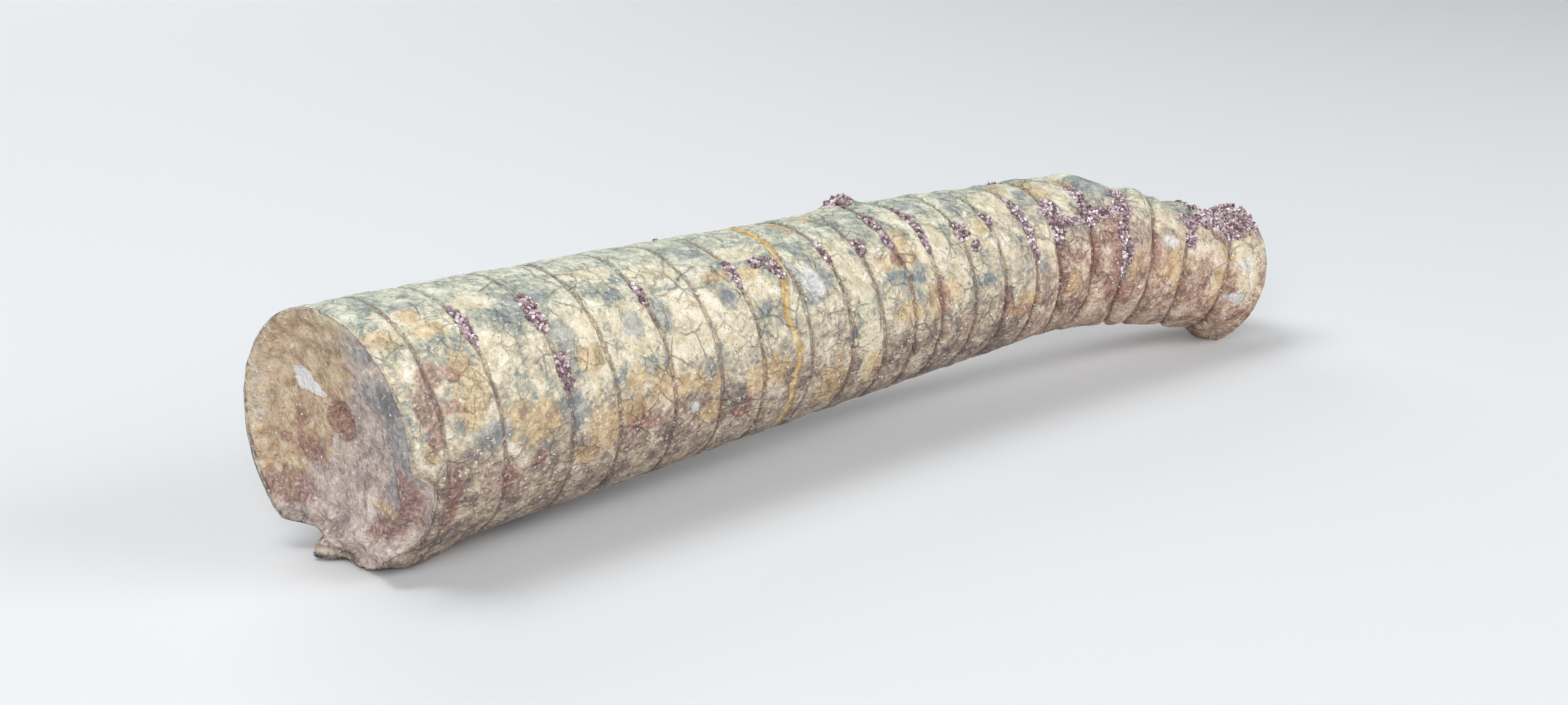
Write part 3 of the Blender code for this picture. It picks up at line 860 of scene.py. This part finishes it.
# %% Glints and specks
# How many crystals get a painted highlight.
PAINTED_GLINT_SHARE = 0.32
painted_glint_size = {0: crystal_distance, 1: 0.18, 2: 0.30, 3: 1.0, 4: 0.0}
painted_glint_size = add("ShaderNodeMapRange", painted_glint_size, interpolation_type="SMOOTHSTEP")
below = add("ShaderNodeMath", {0: painted["lower_brown_and_shade"], 1: 0.55}, operation="MULTIPLY")
below = add("ShaderNodeMath", {0: below, 1: 0.18}, operation="MAXIMUM")
in_crust = add("ShaderNodeMath", {0: crystal_mask, 1: 0.6}, operation="MULTIPLY")
painted_glint_zone = add("ShaderNodeMath", {0: below, 1: in_crust}, operation="MAXIMUM")
limit = add("ShaderNodeMath", {0: painted_glint_zone, 1: -PAINTED_GLINT_SHARE, 2: 1.0}, operation="MULTIPLY_ADD")
picked = add("ShaderNodeMath", {0: painted_glint_pick, 1: limit}, operation="GREATER_THAN")
painted_glint = add("ShaderNodeMath", {0: painted_glint_size, 1: picked}, operation="MULTIPLY")
pepper = {0: speckle["pepper"], 1: 0.60, 2: 0.70}
pepper = add("ShaderNodeMapRange", pepper, interpolation_type="SMOOTHSTEP")
salt = {0: speckle["salt"], 1: 0.59, 2: 0.68}
salt = add("ShaderNodeMapRange", salt, interpolation_type="SMOOTHSTEP")
# Painted highlight: pale glint dots in the base colour.
colour = lay_over(colour, linear("#f1ece6"), painted_glint, 0.8)
colour = lay_over(colour, linear("#5a4d44"), pepper, 0.50)
colour = lay_over(colour, linear("#efe9dd"), salt, 0.40)
colour = lay_over(colour, linear("#e9e5e4"), cut(painted["chip"], 0.15, 0.05), 1.0)
print("the colour takes", len(tree.nodes), "nodes")

# %% [markdown]
# The finish is rough, 0.6 to 0.8, and glossier where a crystal face shows. One bump adds grain that is
# too fine for the mesh: sand, the cracks and seams as fine furrows, and the crystals' own facets.

# %% Roughness and bump
GLOSS = -0.32
BUMP_STRENGTH, BUMP_HEIGHT = 0.85, 0.8
rough = {0: speckle["small"], 1: 0.3, 2: 0.7, 3: 0.58, 4: 0.80}
rough = add("ShaderNodeMapRange", rough, interpolation_type="SMOOTHSTEP")
half_crust = add("ShaderNodeMath", {0: crystal_mask, 1: 0.5}, operation="MULTIPLY")
gloss = add("ShaderNodeMath", {0: painted_glint, 1: half_crust}, operation="MAXIMUM")
roughness = add("ShaderNodeMath", {0: gloss, 1: GLOSS, 2: rough}, operation="MULTIPLY_ADD")
grit = add("ShaderNodeMath", {0: speckle["sand"], 1: 0.5, 2: speckle["tiny"]}, operation="MULTIPLY_ADD")
grit = add("ShaderNodeMath", {0: crack, 1: -0.5, 2: grit}, operation="MULTIPLY_ADD")
grit = add("ShaderNodeMath", {0: seam_line, 1: -0.6, 2: grit}, operation="MULTIPLY_ADD")
facets = add("ShaderNodeMath", {0: crystal_distance, 1: crystal_mask}, operation="MULTIPLY")
grit = add("ShaderNodeMath", {0: facets, 1: -0.9, 2: grit}, operation="MULTIPLY_ADD")
relief_bump = {"Strength": BUMP_STRENGTH, "Distance": BUMP_HEIGHT * MM, "Height": grit}
relief_bump = add("ShaderNodeBump", relief_bump, "Normal")
tree.links.new(colour, shader.inputs["Base Color"])
tree.links.new(roughness, shader.inputs["Roughness"])
tree.links.new(relief_bump, shader.inputs["Normal"])
shader.inputs["IOR"].default_value = 1.58
shader.inputs["Metallic"].default_value = 0.0
print("limestone finished with", len(tree.nodes), "nodes")

# %% [markdown]
# ## The cast in the scene
# The cast stands for the solid and rides on its body.

# %% Place the cast
cast = bpy.data.objects.new("orthoceras_cast", cast_mesh)
cast_mesh.materials.append(limestone)
bpy.context.scene.collection.objects.link(cast)
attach(cast, "root")
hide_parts(NODE)
print("cast placed")

# %% [markdown]
# ## Crystals on the seams
# Where the seams stood open, calcite grew as small rhombs, a few tenths of a millimetre across, and
# iron made them wine red to lilac. A bump can't catch light from the side as they do, so these are real
# little blocks. Each is a skewed cube, turned at random and half sunk into the crust.

# %% Scatter the crystals
CRYSTALS = 6500
SMALLEST, LARGEST = 0.20, 0.52
SKEW, SCATTER = 0.25, 0.28
CRUSTED_LEVEL = 0.62
draw = np.random.default_rng(11)
crusted = np.flatnonzero((crystal + 0.30 * middle_grain > CRUSTED_LEVEL) & (radius > TIP_FADE))
seat = points[draw.choice(crusted, CRYSTALS)] + draw.uniform(-SCATTER, SCATTER, (CRYSTALS, 3))
size = draw.uniform(SMALLEST, LARGEST, CRYSTALS)
turns = np.linalg.qr(draw.normal(size=(CRYSTALS, 3, 3)))[0]
cube = np.array([(x, y, z) for x in (-0.5, 0.5) for y in (-0.5, 0.5) for z in (-0.5, 0.5)])
cube[:, 0] += SKEW * cube[:, 2]
blocks = seat[:, None] + (size[:, None, None] * cube) @ turns
blocks = np.clip(blocks.reshape(-1, 3), low_mm, high_mm)
sides = np.array([(0, 1, 3, 2), (4, 6, 7, 5), (0, 4, 5, 1), (2, 3, 7, 6), (0, 2, 6, 4), (1, 5, 7, 3)])
block_faces = (np.arange(CRYSTALS)[:, None, None] * 8 + sides).reshape(-1, 4)
crystal_mesh = bpy.data.meshes.new("seam_crystals")
crystal_mesh.from_pydata((blocks * MM).tolist(), [], block_faces.tolist())
add_field(crystal_mesh, "shade", np.repeat(draw.random(CRYSTALS), 8), ())
print(CRYSTALS, "crystals from", SMALLEST, "to", LARGEST, "mm")

# %% [markdown]
# Iron-stained calcite is glassy on its fresh faces: IOR about 1.58 and a roughness near 0.35, so single
# crystals glint. Each takes its own shade, and a fine noise clouds it.

# %% Calcite
calcite = bpy.data.materials.new("iron_stained_calcite")
calcite.use_nodes = True
tree = calcite.node_tree
calcite_shader = tree.nodes["Principled BSDF"]
CLOUD_SIZE = 0.5
CALCITE_STOPS = (
    (0.0, "#5c4547"), (0.32, "#84686d"), (0.58, "#a68f95"), (0.82, "#cbbac0"), (1.0, "#efe7e9"),
)
object_place = add("ShaderNodeTexCoord", {}, "Object")
cloud = add("ShaderNodeTexNoise", {"Vector": object_place, "Scale": 1 / (CLOUD_SIZE * MM)}, "Fac")
shade = add("ShaderNodeAttribute", {}, "Fac", attribute_name="shade")
shade = add("ShaderNodeMath", {0: shade, 1: 0.15}, operation="SUBTRACT")
clouded = add("ShaderNodeMath", {0: cloud, 1: 0.3, 2: shade}, operation="MULTIPLY_ADD")
calcite_tone = add("ShaderNodeValToRGB", {"Fac": clouded}, "Color", CALCITE_STOPS)
tree.links.new(calcite_tone, calcite_shader.inputs["Base Color"])
calcite_shader.inputs["Roughness"].default_value = 0.36
calcite_shader.inputs["IOR"].default_value = 1.58
crystal_mesh.materials.append(calcite)
print("calcite uses", len(tree.nodes), "nodes")

# %% [markdown]
# The crystals are one object. It rides on the same body, but it replaces no part of the solid, because
# the cast already stands for it.

# %% Place the crystals
crystal_crust = bpy.data.objects.new("seam_crystals", crystal_mesh)
bpy.context.scene.collection.objects.link(crystal_crust)
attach(crystal_crust, "root")
print("crystals placed")

# %% [markdown]
# ## Floor, light and camera
# A plain pale floor and four large soft lamps make a studio. The floor is a sheet of matt paper, large
# enough that its edges stay out of view.


# %% Floor
floor_mesh = bpy.data.meshes.new("studio_floor")
REACH = 3.0
floor_corners = [(-REACH, -REACH, 0), (REACH, -REACH, 0), (REACH, REACH, 0), (-REACH, REACH, 0)]
floor_mesh.from_pydata(floor_corners, [], [(0, 1, 2, 3)])
floor = bpy.data.objects.new("studio_floor", floor_mesh)
paper = bpy.data.materials.new("matt_paper")
paper.use_nodes = True
paper_shader = paper.node_tree.nodes["Principled BSDF"]
paper_shader.inputs["Base Color"].default_value = linear("#cfd1d3")
paper_shader.inputs["Roughness"].default_value = 0.95
floor_mesh.materials.append(paper)
bpy.context.scene.collection.objects.link(floor)
print("floor", 2 * REACH, "m wide")

# %% [markdown]
# Each lamp is a square area light that points at the fossil. One hangs above and behind the large end,
# two stand low in front of the near side and lift the lower wall, and one lights the back. The world
# adds an even grey light, so no shadow is black.

# %% Lamps and world
AIM = Vector((-16.4, -4.6, 18.4)) * MM
LAMPS = (
    # name, place in m, side in m, watts
    ("key_lamp", (-0.25, 0.25, 0.80), 0.45, 4.4),
    ("fill_lamp", (-0.60, -0.60, 0.45), 0.50, 5.4),
    ("side_lamp", (0.50, -0.70, 0.45), 0.50, 5.6),
    ("back_lamp", (0.20, 0.90, 0.45), 0.60, 3.5),
)
for name, spot, size, watts in LAMPS:
    lamp_data = bpy.data.lights.new(name, "AREA")
    lamp_data.size = size
    lamp_data.energy = watts
    lamp = bpy.data.objects.new(name, lamp_data)
    lamp.location = spot
    lamp.rotation_euler = (AIM - lamp.location).to_track_quat("-Z", "Y").to_euler()
    bpy.context.scene.collection.objects.link(lamp)
world = bpy.data.worlds.new("studio")
world.use_nodes = True
sky = world.node_tree.nodes["Background"]
sky.inputs["Color"].default_value = linear("#dfe3e8")
sky.inputs["Strength"].default_value = 0.28
bpy.context.scene.world = world
bpy.context.scene.view_settings.view_transform = "Standard"
print(len(LAMPS), "lamps")

# %% [markdown]
# The camera stands beyond the large end's near side and looks down at 17 degrees. Its place is worked
# out from the point it aims at, the direction it looks in and how far away it is, so each can be
# changed on its own. The lens is a little longer than normal, which keeps the far end from shrinking.

# %% Camera
VIEW_AZIMUTH, VIEW_DOWN, VIEW_DISTANCE = math.radians(38.53), math.radians(16.78), 0.400
camera_data = bpy.data.cameras.new("view")
camera_data.sensor_width = 36.0
camera_data.lens = 56.6
camera_data.clip_start = 0.01
camera = bpy.data.objects.new("view", camera_data)
looking = Vector((
    math.sin(VIEW_AZIMUTH) * math.cos(VIEW_DOWN), math.cos(VIEW_AZIMUTH) * math.cos(VIEW_DOWN),
    -math.sin(VIEW_DOWN),
))
camera.location = AIM - VIEW_DISTANCE * looking
camera.rotation_euler = (math.pi / 2 - VIEW_DOWN, 0, -VIEW_AZIMUTH)
bpy.context.scene.collection.objects.link(camera)
bpy.context.scene.camera = camera
print("camera at", [round(value, 3) for value in camera.location], "m")

# %% [markdown]
# ## Update
# The view layer is updated, so every object's place is current. The visual model must
# stay inside the solid's box.

# %% Update the view layer
bpy.context.view_layer.update()
